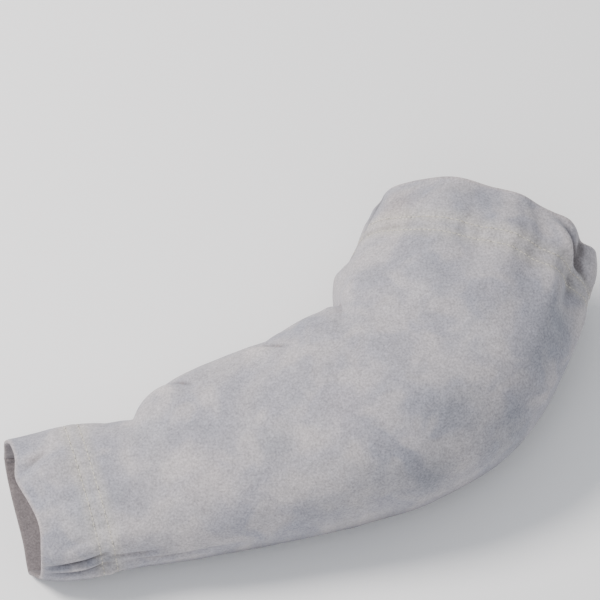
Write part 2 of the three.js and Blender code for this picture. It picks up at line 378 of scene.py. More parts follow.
def to_nearest_row(distance):
    wrist = np.abs(np.abs(distance - WRIST_ELASTIC_SET) - WRIST_ROW_OFFSET)
    arm = np.abs(np.abs(arm_length - distance - ARM_ELASTIC_SET) - ARM_ROW_OFFSET)
    return np.minimum(wrist, arm)


# %% [markdown]
# No hide is even. Besides its dents the leather rises and sinks a little everywhere, in soft
# patches a few fingers wide. Three-dimensional noise gives that without a join, because it is
# read at the point in space and not on a grid round the tube. Where the sleeve rests, its weight
# presses the leather flat, with a soft bend beside the flat part. The noise is nothing there.

# %% Points on the leather
UNDULATION = 1.5
UNDULATION_WAVE = 46.0
UNDULATION_FULL_AT = 11.5
RIPPLE = 0.35
RIPPLE_WAVE = 15.0
SETTLE_BEND = 5.0
PLAIN_ROWS = 120
PLAIN_COLUMNS = 160


def settled(lift):
    """Presses what would lie below the surface flat on it, with a soft bend beside it."""
    bend = (lift + SETTLE_BEND) ** 2 / (4 * SETTLE_BEND)
    return np.where(np.abs(lift) < SETTLE_BEND, bend, np.maximum(lift, 0))


def plain_point(distance, turn, fine):
    """Outside of the leather, with its lowest part pressed flat on the surface below."""
    cosine, sine = np.cos(math.tau * turn), np.sin(math.tau * turn)
    power = np.abs(cosine) ** FULLNESS + np.abs(sine) ** FULLNESS
    rounded = power ** (-1 / FULLNESS)
    slant_fade = bell(2 * distance / WRIST_SLANT_REACH)
    along = distance + WRIST_SLANT * (1 + sine) / 2 * slant_fade
    if fine:
        along = along + rim_shift(distance, turn)
    x, y, heading_x, heading_y = centre_line(along)
    place = place_at(along)
    half = np.where(cosine > 0, section_value("inner", place), section_value("outer", place))
    height = HEIGHT * section_value("high", place)
    inset = dent_depth(along, turn) + gathers(along, turn)
    if fine:
        inset += fine_detail(distance, turn)
    across = WIDTH * half * cosine * rounded - inset * cosine
    rise = height / 2 * sine * rounded - inset * sine
    lift = rise + height / 2 - SETTLED_SHARE * height
    return np.stack([x - heading_y * across, y + heading_x * across, settled(lift)], -1)


def outward_at(distance, turn, fine):
    step = LEATHER / 2
    turn_step = step / WIDTH
    ahead = plain_point(distance, turn + turn_step, fine)
    around = ahead - plain_point(distance, turn - turn_step, fine)
    along = plain_point(distance + step, turn, fine) - plain_point(distance - step, turn, fine)
    normal = np.cross(around, along)
    return normal / np.linalg.norm(normal, axis=-1, keepdims=True)


def unevenness(points):
    """Soft rise and fall of the hide, in millimetres, nothing where it is pressed flat."""
    heights = np.empty(len(points))
    for index, point in enumerate(points):
        broad = noise.noise(Vector(point / UNDULATION_WAVE))
        small = noise.noise(Vector(point / RIPPLE_WAVE))
        heights[index] = UNDULATION * broad + RIPPLE * small
    return heights * np.clip(points[:, 2] / UNDULATION_FULL_AT, 0, 1)


def leather_points(distance, turn, depth, fine=True):
    """Points at a depth under the outside, measured square to the leather."""
    surface = plain_point(distance, turn, fine)
    outward = outward_at(distance, turn, fine)
    rise = unevenness(surface) if fine else 0
    lifted = surface + outward * np.expand_dims(rise - depth, -1)
    return lifted, outward


plain_turns = np.linspace(0, 1, PLAIN_COLUMNS, endpoint=False)
plain_distances = np.linspace(fold_radius, arm_length - fold_radius, PLAIN_ROWS)
plain_grid = np.meshgrid(plain_distances, plain_turns, indexing="ij")
plain_surface = plain_point(plain_grid[0].ravel(), plain_grid[1].ravel(), fine=False)
frame_low, frame_high = (np.array(corner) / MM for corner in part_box("sleeve_body"))
to_frame = (frame_low + frame_high) / 2 - (plain_surface.min(0) + plain_surface.max(0)) / 2
to_frame[2] = 0
print("the pattern moves to the frame by", to_frame.round(1), "mm")

# %% [markdown]
# The leather is one sheet that goes round: outside, over the arm rim, back inside the turned hem
# to its raw edge, out again under the hem, along the lining side, and the same at the wrist. So
# the mesh is one closed ring. Its rows lie closest at the hems, where the stitches pucker it.

# %% Rows of the leather mesh
HEM_ROW_STEP = 1.5
WALL_ROW_STEP = 2.3
LINING_ROW_STEP = 7.0
FOLD_STEPS = 6
AROUND = 236
SEAM_EXTRA = 10
SEAM_EXTRA_REACH = 4.5


def hem_stops(elastic_set):
    half = ELASTIC_WIDTH / 2
    return [fold_radius, elastic_set - half - HEM_EDGE, elastic_set - half, elastic_set + half,
            elastic_set + half + HEM_EDGE]


def filled(stops, step):
    """Adds evenly spaced rows between the stops, about a step apart."""
    rows = [stops[0]]
    for low, high in zip(stops, stops[1:]):
        count = max(round((high - low) / step), 1)
        rows += [low + (high - low) * part / count for part in range(1, count + 1)]
    return np.array(rows)


def hem_gap(from_rim, elastic_set):
    beside = np.abs(from_rim - elastic_set) - ELASTIC_WIDTH / 2
    lift = np.clip(1 - beside / HEM_EDGE, 0, 1)
    return LAYER_GAP + (ELASTIC_THICKNESS + 2 * ELASTIC_CLEARANCE - LAYER_GAP) * lift


def hem_profile(elastic_set):
    """Rows round one rim, each with its distance from that rim and its depth."""
    angles = np.pi * np.arange(1, FOLD_STEPS) / FOLD_STEPS
    rows = filled(hem_stops(elastic_set), LINING_ROW_STEP / 2)
    gap = hem_gap(rows, elastic_set)
    from_rim = [fold_radius * (1 - np.sin(angles)), rows, rows[::-1]]
    depth = [fold_radius * (1 - np.cos(angles)), 2 * LEATHER + gap, (LEATHER + gap)[::-1]]
    return np.concatenate(from_rim), np.concatenate(depth)


def outside_rows(hem_step, wall_step):
    wrist = filled(hem_stops(WRIST_ELASTIC_SET), hem_step)
    arm = arm_length - filled(hem_stops(ARM_ELASTIC_SET), hem_step)[::-1]
    wall = filled([wrist[-1], arm[0]], wall_step)
    return np.concatenate([wrist, wall[1:-1], arm])


def leather_profile():
    outside = outside_rows(HEM_ROW_STEP, WALL_ROW_STEP)
    lining = outside_rows(LINING_ROW_STEP / 2, LINING_ROW_STEP)[::-1]
    arm_from_rim, arm_depth = hem_profile(ARM_ELASTIC_SET)
    wrist_from_rim, wrist_depth = hem_profile(WRIST_ELASTIC_SET)
    distance = [outside, arm_length - arm_from_rim, lining, wrist_from_rim[::-1]]
    depth = [0 * outside, arm_depth, 0 * lining + LEATHER, wrist_depth[::-1]]
    return np.concatenate(distance), np.concatenate(depth)


def seam_turns():
    """Turns of the columns: even ones, and a few closer together at the closing seam."""
    even = np.arange(AROUND) / AROUND
    reach = SEAM_EXTRA_REACH / middle_girth
    kept = even[np.abs(turns_between(even, SEAM_TURN)) > reach]
    return np.sort(np.concatenate([kept, SEAM_TURN + np.linspace(-reach, reach, SEAM_EXTRA)]))


leather_turns = seam_turns()
leather_distance, leather_depth = leather_profile()
print("the leather mesh has", len(leather_distance), "rows of", len(leather_turns), "points")

# %% [markdown]
# The finishes will need to know where on the sleeve a spot lies, so the mesh keeps that at each
# of its points: how deep under the outside it is, how far from a stitch row and from a rim, how
# deep in a crease or gather, and how much it faces upward. A gather is rounder than a crease, so
# it counts for a third of its depth.

# %% Build a closed ring
GATHER_TONE_PART = 3


def closed_ring(name, distance, depth, turns):
    """Carries a closed profile once round the arm and returns it as a smooth mesh object."""
    rows, columns = len(distance), len(turns)
    grid_distance = np.repeat(distance, columns)
    grid_depth = np.repeat(depth, columns)
    grid_turn = np.tile(turns, rows)
    points, outward = leather_points(grid_distance, grid_turn, grid_depth)
    points = (points + to_frame) * MM
    row, column = np.meshgrid(np.arange(rows), np.arange(columns), indexing="ij")
    next_row, next_column = (row + 1) % rows, (column + 1) % columns
    corners = [row * columns + column, row * columns + next_column,
               next_row * columns + next_column, next_row * columns + column]
    quads = np.stack(corners, -1).reshape(-1, 4)
    mesh = bpy.data.meshes.new(name)
    mesh.from_pydata(points.tolist(), [], quads.tolist())
    mesh.shade_smooth()
    # fold_mm darkens creases and gathers in the leather finish as painted shade, partly dirt, and
    # upward darkens the underside as painted shade
    gathered = gathers(grid_distance, grid_turn) / GATHER_TONE_PART
    kept = {"depth_mm": grid_depth, "row_mm": to_nearest_row(grid_distance),
            "rim_mm": np.minimum(grid_distance, arm_length - grid_distance),
            "fold_mm": crease_depth(grid_distance, grid_turn) + gathered,
            "upward": outward[:, 2]}
    for title, values in kept.items():
        attribute = mesh.attributes.new(title, "FLOAT", "POINT")
        attribute.data.foreach_set("value", values.astype(np.float32))
    piece = bpy.data.objects.new(name, mesh)
    bpy.context.collection.objects.link(piece)
    print(name, "has", 2 * len(quads), "triangles")
    return piece


sleeve_leather = closed_ring("sleeve_leather", leather_distance, leather_depth, leather_turns)

# %% [markdown]
# The elastic lies closed in each hem, between the two rows of stitches. Nobody sees it, but it is
# what draws the leather in, so it is there: a flat band that follows the same leather.

# %% Elastic bands
ELASTIC_AROUND = 160


def elastic_band(name, distance):
    half = ELASTIC_WIDTH / 2
    outside = LEATHER + ELASTIC_CLEARANCE
    inside = outside + ELASTIC_THICKNESS
    along = np.array([distance - half, distance + half, distance + half, distance - half])
    depth = np.array([outside, outside, inside, inside])
    band = closed_ring(name, along, depth, np.arange(ELASTIC_AROUND) / ELASTIC_AROUND)
    band.data.shade_flat()
    return band


wrist_band = elastic_band("wrist_elastic_band", WRIST_ELASTIC_SET)
arm_band = elastic_band("arm_elastic_band", arm_length - ARM_ELASTIC_SET)

# %% [markdown]
# Finishes come next, because the stitches need theirs while they are made. Colours are written as
# the eye reads them, in sRGB hex, and one function turns them into the linear values that a
# shader wants. A second small function adds a node, sets it and links it.

# %% Helpers for finishes
def linear(hex_colour):
    """Turns a colour in sRGB hex into linear values, by the curve of the sRGB standard."""
    channels = [int(hex_colour[start:start + 2], 16) / 255 for start in (1, 3, 5)]
    toned = [c / 12.92 if c <= 0.04045 else ((c + 0.055) / 1.055) ** 2.4 for c in channels]
    return (*toned, 1.0)


def add_node(tree, kind, settings=None, inputs=None):
    """Adds a node. Inputs take a value, or a socket of another node to link from."""
    node = tree.nodes.new(kind)
    for key, value in (settings or {}).items():
        setattr(node, key, value)
    for key, value in (inputs or {}).items():
        if isinstance(value, bpy.types.NodeSocket):
            tree.links.new(value, node.inputs[key])
        else:
            node.inputs[key].default_value = value
    return node


def new_finish(name):
    material = bpy.data.materials.new(name)
    material.use_nodes = True
    tree = material.node_tree
    tree.nodes.clear()
    return material, tree


def ramp(tree, factor, stops):
    """A colour ramp. New stops start in the middle and are then moved to their places."""
    node = add_node(tree, "ShaderNodeValToRGB", inputs={"Fac": factor})
    elements = node.color_ramp.elements
    while len(elements) < len(stops):
        elements.new(0.5)
    for element, (position, colour) in zip(elements, stops):
        element.position = position
        element.color = colour
    return node.outputs["Color"]


def grey(value):
    return (value, value, value, 1.0)


# %% [markdown]
# Split cowhide is the lower layer of the hide, so both its faces are rough. Buffing raises a short
# nap, and the dye takes unevenly: cool clouds a hand wide, warm patches, small blotches and the grain
# of the fibre ends. Those ends are about a millimetre long, and are drawn half as long again so that
# they show from where the camera stands. About a score of broad stains are listed where this hide has
# them.

# %% Patterns and stains of the hide
FIBRE_MM = 1.5
PATTERN_COLUMNS = ("name", "wave_mm", "detail", "roughness", "distortion")
PATTERNS = [
    ("clouds", 62.0, 2.5, 0.5, 0.6),
    ("patches", 24.0, 1.5, 0.5, 0.4),
    ("blotches", 6.5, 2.0, 0.5, 0.0),
    ("pores", 3.4, 2.0, 0.5, 0.0),
    ("fibres", FIBRE_MM, 3.0, 0.7, 0.0),
]
STAIN_COLUMNS = ("x_mm", "y_mm", "z_mm", "radius_mm", "strength", "tone")
STAINS = [
    (95, -65, 112, 36, 0.45, "#82868f"),
    (76, -98, 78, 36, 0.60, "#7b7f88"),
    (134, -69, 78, 42, 0.45, "#81868f"),
    (41, -101, 90, 30, 0.30, "#868a92"),
    (-27, -74, 105, 22, 0.35, "#8b8f98"),
    (-8, -46, 115, 18, 0.20, "#8f929a"),
    (-76, -85, 92, 36, 0.35, "#c6bcba"),
    (-157, -105, 71, 30, 0.40, "#c4c3c7"),
    (21, -58, 118, 28, 0.30, "#bfb6ba"),
    (-138, -93, 80, 12, 0.30, "#8f949e"),
    (-158, -93, 77, 9, 0.35, "#8f949e"),
    (73, 102, 112, 24, 0.55, "#b3a7a3"),
    (109, 77, 127, 46, 0.35, "#96979f"),
    (82, 30, 127, 28, 0.30, "#bcbbc2"),
    (52, 45, 119, 16, 0.25, "#8e9098"),
    (177, 5, 100, 30, 0.40, "#868e9a"),
    (160, -24, 101, 30, 0.30, "#8a909b"),
    (119, -11, 125, 30, 0.25, "#bdbcc2"),
    (-168, -71, 79, 18, 0.40, "#c9c1bb"),
    (-111, -51, 90, 26, 0.25, "#a8abb4"),
    (6, -112, 72, 30, 0.25, "#8d9098"),
]
print(len(PATTERNS), "patterns and", len(STAINS), "stains")


def pattern_of(tree, coordinates, pattern_row):
    looks = dict(zip(PATTERN_COLUMNS, pattern_row))
    node = add_node(tree, "ShaderNodeTexNoise",
                    inputs={"Vector": coordinates, "Scale": 1 / (looks["wave_mm"] * MM),
                            "Detail": looks["detail"], "Roughness": looks["roughness"],
                            "Distortion": looks["distortion"]})
    return node.outputs["Fac"]


def attribute_value(tree, title):
    return add_node(tree, "ShaderNodeAttribute", {"attribute_name": title}).outputs["Fac"]


def ranged(tree, value, low, high, to_low, to_high):
    """Carries a value softly from one range to another."""
    node = add_node(tree, "ShaderNodeMapRange", {"interpolation_type": "SMOOTHSTEP"},
                    {"Value": value, "From Min": low, "From Max": high,
                     "To Min": to_low, "To Max": to_high})
    return node.outputs["Result"]


MIX_FACTOR = 0
MIX_COLOURS = (6, 7)
MIX_RESULT = 2


def mixed(tree, kind, factor, first, second):
    """Mixes two colours. The node has several sockets of one name, so they go by number."""
    wanted = {MIX_FACTOR: factor, MIX_COLOURS[0]: first, MIX_COLOURS[1]: second}
    node = add_node(tree, "ShaderNodeMix", {"data_type": "RGBA", "blend_type": kind}, wanted)
    return node.outputs[MIX_RESULT]


def stained(tree, coordinates, colour):
    """Lays soft round stains over a colour, each at its place on the hide."""
    for row in STAINS:
        stain = dict(zip(STAIN_COLUMNS, row))
        centre = Vector((stain["x_mm"], stain["y_mm"], stain["z_mm"])) * MM
        reach = add_node(tree, "ShaderNodeVectorMath", {"operation": "DISTANCE"},
                         {0: coordinates, 1: centre}).outputs["Value"]
        soft = ranged(tree, reach, 0.0, stain["radius_mm"] * MM, stain["strength"], 0.0)
        colour = mixed(tree, "MIX", soft, colour, linear(stain["tone"]))
    return colour


# %% [markdown]
# Wear and sewing change the tone, and shade is painted on as well. Ridges are rubbed pale, creases
# are painted dark, partly as dirt and partly as painted shade, stitch rows and rims are creamier, the
# underside is painted darker as painted shade, and the inside of the tube is painted warmer and
# darker as painted shade. Each row of the tint table reads one of the values kept on the mesh, and
# carries it from a range of its own to the share of a tone. The shade table lets a pattern lighten or
# darken all of it. The bumps make the nap rough, and the sheen of the shader catches light at its
# edges.

# %% Finish of the split leather
CLOUD_TONES = [(0.36, "#a0a0aa"), (0.50, "#aaa8b0"), (0.64, "#b5b1b5")]
WARM_PATCHES = [(0.46, 0.0), (0.62, 1.0)]
WARM_TONE = "#bab3b2"
WARM_SHARE = 0.5
TINT_COLUMNS = ("kept", "from_value", "to_value", "from_share", "to_share", "tone")
TINTS = [
    ("fold_mm", -0.4, -2.4, 0.0, 0.45, "#d0c8c7"),
    # painted shade, partly dirt: creases and gathers are darkened by their depth
    ("fold_mm", 0.8, 3.8, 0.0, 0.66, "#4e4847"),
    ("row_mm", 0.0, 9.0, 0.34, 0.0, "#c6c0b4"),
    ("rim_mm", 0.0, 4.0, 0.5, 0.0, "#c3b6b2"),
    # painted shade: leather that faces sideways and down is darkened
    ("upward", 0.05, -0.45, 0.0, 0.72, "#353133"),
    # painted shade: the inside of the tube is painted darker and warmer
    ("depth_mm", 0.3, 1.0, 0.0, 0.6, "#857c7c"),
]
SHADE_COLUMNS = ("pattern", "low", "dark", "high", "light")
SHADES = [
    ("patches", 0.32, 0.90, 0.68, 1.06),
    ("blotches", 0.30, 0.93, 0.70, 1.05),
    ("fibres", 0.32, 0.67, 0.68, 1.18),
]
BUMP_COLUMNS = ("pattern", "strength", "height_mm")
BUMPS = [
    ("fibres", 0.55, 0.35),
    ("pores", 0.50, 0.45),
    ("blotches", 0.45, 0.90),
]
NAP_ROUGHNESS = [(0.2, 0.88), (0.8, 0.98)]
NAP_SURFACE = {"IOR": 1.45, "Specular IOR Level": 0.25, "Sheen Weight": 0.22, "Sheen Roughness": 0.5}
NAP_SHEEN_TINT = "#d9dce4"


def colour_stops(stops):
    return [(position, linear(tone)) for position, tone in stops]


def grey_stops(stops):
    return [(position, grey(value)) for position, value in stops]


def tinted(tree, colour):
    """Lays each tone of the tint table over a colour, by a value kept on the mesh."""
    for row in TINTS:
        tint = dict(zip(TINT_COLUMNS, row))
        share = ranged(tree, attribute_value(tree, tint["kept"]), tint["from_value"],
                       tint["to_value"], tint["from_share"], tint["to_share"])
        colour = mixed(tree, "MIX", share, colour, linear(tint["tone"]))
    return colour


def shaded(tree, patterns, colour):
    for row in SHADES:
        shade = dict(zip(SHADE_COLUMNS, row))
        stops = grey_stops([(shade["low"], shade["dark"]), (shade["high"], shade["light"])])
        strength = ramp(tree, patterns[shade["pattern"]], stops)
        colour = mixed(tree, "MULTIPLY", 1.0, colour, strength)
    return colour


def roughened(tree, patterns):
    """Stacks the bumps, each on the normal of the one before it."""
    before = {}
    for row in BUMPS:
        bump = dict(zip(BUMP_COLUMNS, row))
        node = add_node(tree, "ShaderNodeBump",
                        inputs={"Strength": bump["strength"], "Distance": bump["height_mm"] * MM,
                                "Height": patterns[bump["pattern"]], **before})
        before = {"Normal": node.outputs["Normal"]}
    return before["Normal"]


def split_leather_finish():
    material, tree = new_finish("buffed_split_cowhide")
    coordinates = add_node(tree, "ShaderNodeTexCoord").outputs["Object"]
    patterns = {row[0]: pattern_of(tree, coordinates, row) for row in PATTERNS}
    base = ramp(tree, patterns["clouds"], colour_stops(CLOUD_TONES))
    warmth = ramp(tree, patterns["patches"], grey_stops(WARM_PATCHES))
    warm = mixed(tree, "MIX", warmth, base, linear(WARM_TONE))
    dyed = stained(tree, coordinates, mixed(tree, "MIX", WARM_SHARE, base, warm))
    colour = shaded(tree, patterns, tinted(tree, dyed))
    rough = ramp(tree, patterns["pores"], grey_stops(NAP_ROUGHNESS))
    shader = add_node(tree, "ShaderNodeBsdfPrincipled",
                      inputs={"Base Color": colour, "Roughness": rough, **NAP_SURFACE,
                              "Sheen Tint": linear(NAP_SHEEN_TINT),
                              "Normal": roughened(tree, patterns)})
    add_node(tree, "ShaderNodeOutputMaterial", inputs={"Surface": shader.outputs["BSDF"]})
    print(material.name, "has", len(tree.nodes), "nodes")
    return material


# %% [markdown]
# The sewing thread is twisted heat-resistant yarn, a little paler than the leather. At this distance
# its twist is finer than a pixel, so it is drawn about twice as coarse as it is. The needle holes are
# only seen as darker dots, drawn as small beads whose darker tone is painted shade, and the elastic
# is a plain braid. Thread and braid are both yarn in bands, so one function makes the two finishes.

# %% Finishes of the thread, the holes and the elastic
TWIST_MM = 0.8
BRAID_MM = 0.7
THREAD_TONES = [(0.2, "#bbb5a9"), (0.8, "#d6d1c4")]
BRAID_TONES = [(0.2, "#c4c2bc"), (0.8, "#e9e7e1")]
# painted shade: the holes are darker dots, not open holes
HOLE_TONES = [(0.3, "#7d7a78"), (0.7, "#94908b")]
HOLE_ROUGHNESS = 1.0
HOLE_GRAIN = ("hole_fibres", FIBRE_MM, 3.0, 0.55, 0.0)
YARN_BANDS = {"Distortion": 1.5, "Detail": 2.0}
YARN_BUMP = {"Strength": 0.5, "Distance": 0.15 * MM}
YARN_SURFACE = {"Roughness": 0.7, "Sheen Weight": 0.1}


def banded_finish(name, tones, wave_mm, direction):
    material, tree = new_finish(name)
    coordinates = add_node(tree, "ShaderNodeTexCoord").outputs["Object"]
    bands = add_node(tree, "ShaderNodeTexWave", {"bands_direction": direction},
                     {"Vector": coordinates, "Scale": 1 / (wave_mm * MM) / math.tau,
                      **YARN_BANDS}).outputs["Fac"]
    colour = ramp(tree, bands, colour_stops(tones))
    bump = add_node(tree, "ShaderNodeBump", inputs={"Height": bands, **YARN_BUMP})
    shader = add_node(tree, "ShaderNodeBsdfPrincipled",
                      inputs={"Base Color": colour, "Normal": bump.outputs["Normal"],
                              **YARN_SURFACE})
    add_node(tree, "ShaderNodeOutputMaterial", inputs={"Surface": shader.outputs["BSDF"]})
    return material


def hole_finish():
    material, tree = new_finish("needle_hole_in_split_cowhide")
    coordinates = add_node(tree, "ShaderNodeTexCoord").outputs["Object"]
    colour = ramp(tree, pattern_of(tree, coordinates, HOLE_GRAIN), colour_stops(HOLE_TONES))
    shader = add_node(tree, "ShaderNodeBsdfPrincipled",
                      inputs={"Base Color": colour, "Roughness": HOLE_ROUGHNESS})
    add_node(tree, "ShaderNodeOutputMaterial", inputs={"Surface": shader.outputs["BSDF"]})
    return material


leather_finish = split_leather_finish()
thread_finish = banded_finish("twisted_aramid_thread", THREAD_TONES, TWIST_MM, "DIAGONAL")
needle_hole_finish = hole_finish()
braid_finish = banded_finish("braided_elastic", BRAID_TONES, BRAID_MM, "X")
sleeve_leather.data.materials.append(leather_finish)
wrist_band.data.materials.append(braid_finish)
arm_band.data.materials.append(braid_finish)
print("finishes:", [material.name for material in bpy.data.materials])

# %% [markdown]
# Stitches repeat along a line, so Geometry Nodes make them. The line of each row is a string of
# edges that remembers which way is out of the leather. The node tree cuts it into steps a little
# longer than a stitch, and sets on each step one rounded stitch, and half a step further the
# needle hole between it and the next. A small random turn, always from the same seed, keeps the
# row from looking printed.

# %% Node tree of a stitch row
STITCH_PITCH = 3.6
STITCH_LENGTH = 3.0
THREAD_WIDTH = 0.8
THREAD_RISE = 0.16
HOLE_WIDTH = 0.6
THREAD_FLATNESS = 0.8
THREAD_FACETS = (10, 6)
HOLE_FLATNESS = 0.4
HOLE_FACETS = (8, 4)
STITCH_TURN = 0.10
STITCH_SEED = 7


def float_input(tree, name, default):
    socket = tree.interface.new_socket(name=name, in_out="INPUT", socket_type="NodeSocketFloat")
    socket.default_value = default
    return socket.identifier


def stitch_tree():
    """Builds the tree and returns it with the identifiers of its named inputs."""
    tree = bpy.data.node_groups.new("stitch_row", "GeometryNodeTree")
    tree.interface.new_socket(name="Row", in_out="INPUT", socket_type="NodeSocketGeometry")
    sizes = {"Pitch": STITCH_PITCH, "Stitch Length": STITCH_LENGTH, "Thread Width": THREAD_WIDTH,
             "Hole Width": HOLE_WIDTH}
    identifiers = {name: float_input(tree, name, size * MM) for name, size in sizes.items()}
    tree.interface.new_socket(name="Stitches", in_out="OUTPUT", socket_type="NodeSocketGeometry")
    given = add_node(tree, "NodeGroupInput").outputs

    curve = add_node(tree, "GeometryNodeMeshToCurve", inputs={"Mesh": given["Row"]})
    steps = add_node(tree, "GeometryNodeResampleCurve", {"mode": "LENGTH"},
                     {"Curve": curve.outputs["Curve"], "Length": given["Pitch"]})
    tangent = add_node(tree, "GeometryNodeInputTangent").outputs["Tangent"]
    outward = add_node(tree, "GeometryNodeInputNamedAttribute", {"data_type": "FLOAT_VECTOR"},
                       {"Name": "outward"}).outputs["Attribute"]
    along = add_node(tree, "FunctionNodeAlignRotationToVector", {"axis": "X"}, {"Vector": tangent})
    upright = add_node(tree, "FunctionNodeAlignRotationToVector", {"axis": "Z", "pivot_axis": "X"},
                       {"Rotation": along.outputs["Rotation"], "Vector": outward})
    wobble = add_node(tree, "FunctionNodeRandomValue", {"data_type": "FLOAT_VECTOR"})
    wobble.inputs[0].default_value = (-STITCH_TURN / 2, 0, -STITCH_TURN)
    wobble.inputs[1].default_value = (STITCH_TURN / 2, 0, STITCH_TURN)
    wobble.inputs["Seed"].default_value = STITCH_SEED
    loose = add_node(tree, "FunctionNodeEulerToRotation", inputs={"Euler": wobble.outputs[0]})
    turned = add_node(tree, "FunctionNodeRotateRotation", {"rotation_space": "LOCAL"},
                      {"Rotation": upright.outputs["Rotation"], "Rotate By": loose.outputs[0]})

    def bead(size_socket, width_socket, flatness, material, facets):
        ball = add_node(tree, "GeometryNodeMeshUVSphere",
                        inputs={"Segments": facets[0], "Rings": facets[1], "Radius": 1 / 2})
        height = add_node(tree, "ShaderNodeMath", {"operation": "MULTIPLY"},
                          {0: width_socket, 1: flatness}).outputs[0]
        size = add_node(tree, "ShaderNodeCombineXYZ",
                        inputs={"X": size_socket, "Y": width_socket, "Z": height})
        scaled = add_node(tree, "GeometryNodeTransform",
                          inputs={"Geometry": ball.outputs["Mesh"], "Scale": size.outputs["Vector"]})
        smooth = add_node(tree, "GeometryNodeSetShadeSmooth",
                          inputs={"Geometry": scaled.outputs["Geometry"]})
        return add_node(tree, "GeometryNodeSetMaterial",
                        inputs={"Geometry": smooth.outputs["Geometry"], "Material": material})

    stitch = bead(given["Stitch Length"], given["Thread Width"], THREAD_FLATNESS, thread_finish,
                  THREAD_FACETS)
    hole = bead(given["Hole Width"], given["Hole Width"], HOLE_FLATNESS, needle_hole_finish,
                HOLE_FACETS)
    half_pitch = add_node(tree, "ShaderNodeMath", {"operation": "MULTIPLY"},
                          {0: given["Pitch"], 1: 1 / 2}).outputs[0]
    further = add_node(tree, "ShaderNodeCombineXYZ", inputs={"X": half_pitch, "Z": -THREAD_RISE * MM})
    moved = add_node(tree, "GeometryNodeTransform",
                     inputs={"Geometry": hole.outputs["Geometry"],
                             "Translation": further.outputs["Vector"]})
    both = add_node(tree, "GeometryNodeJoinGeometry")
    tree.links.new(stitch.outputs["Geometry"], both.inputs["Geometry"])
    tree.links.new(moved.outputs["Geometry"], both.inputs["Geometry"])
    placed = add_node(tree, "GeometryNodeInstanceOnPoints",
                      inputs={"Points": steps.outputs["Curve"], "Instance": both.outputs["Geometry"],
                              "Rotation": turned.outputs[0]})
    real = add_node(tree, "GeometryNodeRealizeInstances",
                    inputs={"Geometry": placed.outputs["Instances"]})
    add_node(tree, "NodeGroupOutput", inputs={"Stitches": real.outputs["Geometry"]})
    return tree, identifiers


stitch_nodes, stitch_inputs = stitch_tree()
print("inputs of the stitch tree:", stitch_inputs)

# %% [markdown]
# Each hem has two rows outside, and the same two show on its inside, through the mouth. The rows
# are lines drawn on the same leather as the mesh, so they rise and fall with every gather. Two
# more rows run along the closing seam, one on either side of it, on the side that faces away.

# %% Sew the rows
ROW_POINTS = 420
SEAM_POINTS = 320
SEAM_ROW_OFFSET = 4.5


def row_line(distance, turn, depth, side):
    """Points of a row, and the way out of the leather there."""
    points, outward = leather_points(distance, turn, depth)
    points = points + outward * side * THREAD_RISE
    points[:, 2] = np.maximum(points[:, 2], THREAD_WIDTH / 2)
    return (points + to_frame) * MM, outward * side


def sewn(name, lines):
    """Bakes the stitches of several lines into one plain mesh."""
    vertices, edges, outward = [], [], []
    for points, normals, closed in lines:
        first = len(vertices)
        vertices += points.tolist()
        outward += normals.tolist()
        edges += [(first + step, first + step + 1) for step in range(len(points) - 1)]
        if closed:
            edges.append((first + len(points) - 1, first))
    mesh = bpy.data.meshes.new(name + "_line")
    mesh.from_pydata(vertices, edges, [])
    attribute = mesh.attributes.new("outward", "FLOAT_VECTOR", "POINT")
    attribute.data.foreach_set("vector", np.array(outward, dtype=np.float32).ravel())
    guide = bpy.data.objects.new(name + "_line", mesh)
    bpy.context.collection.objects.link(guide)
    modifier = guide.modifiers.new("stitches", "NODES")
    modifier.node_group = stitch_nodes
    modifier[stitch_inputs["Pitch"]] = STITCH_PITCH * MM
    evaluated = guide.evaluated_get(bpy.context.evaluated_depsgraph_get())
    baked = bpy.data.meshes.new_from_object(evaluated)
    guide.modifiers.clear()
    bpy.data.objects.remove(guide)
    baked.name = name
    piece = bpy.data.objects.new(name, baked)
    bpy.context.collection.objects.link(piece)
    print(name, "has", sum(len(face.vertices) - 2 for face in baked.polygons), "triangles")
    return piece


def hem_rows(elastic_set, row_offset, from_arm):
    """Lines of the two rows of a hem, outside and inside."""
    turns = np.arange(ROW_POINTS) / ROW_POINTS
    lines = []
    for offset in (-row_offset, row_offset):
        from_rim = elastic_set + offset
        distance = arm_length - from_rim if from_arm else from_rim
        gap = float(hem_gap(np.array(from_rim), elastic_set))
        for depth, side in ((0.0, 1), (2 * LEATHER + gap, -1)):
            along = np.full(ROW_POINTS, distance)
            lines.append((*row_line(along, turns, np.full(ROW_POINTS, depth), side), True))
    return lines


def seam_rows():
    """Lines of stitches along both sides of the closing seam."""
    distance = np.linspace(2 * fold_radius, arm_length - 2 * fold_radius, SEAM_POINTS)
    lines = []
    for side in (-1, 1):
        turns = np.full(SEAM_POINTS, SEAM_TURN + side * SEAM_ROW_OFFSET / middle_girth)
        lines.append((*row_line(distance, turns, np.zeros(SEAM_POINTS), 1), False))
    return lines


wrist_stitches = sewn("wrist_stitches", hem_rows(WRIST_ELASTIC_SET, WRIST_ROW_OFFSET, False))
arm_stitches = sewn("arm_stitches", hem_rows(ARM_ELASTIC_SET, ARM_ROW_OFFSET, True))
seam_stitches = sewn("seam_stitches", seam_rows())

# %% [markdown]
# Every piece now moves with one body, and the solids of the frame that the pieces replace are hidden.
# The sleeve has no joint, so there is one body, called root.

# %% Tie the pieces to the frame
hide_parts("sleeve_body")
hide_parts("wrist_elastic")
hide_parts("arm_elastic")
for piece in (sleeve_leather, wrist_band, arm_band, wrist_stitches, arm_stitches, seam_stitches):
    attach(piece, "root")

# %% [markdown]
# A photograph of such an article is lit softly from the upper left and taken from the front at
# about sixty degrees above the table, with a long lens, so the outline is nearly free of
# perspective. The camera here stands at that angle and frames the sleeve in the same way.

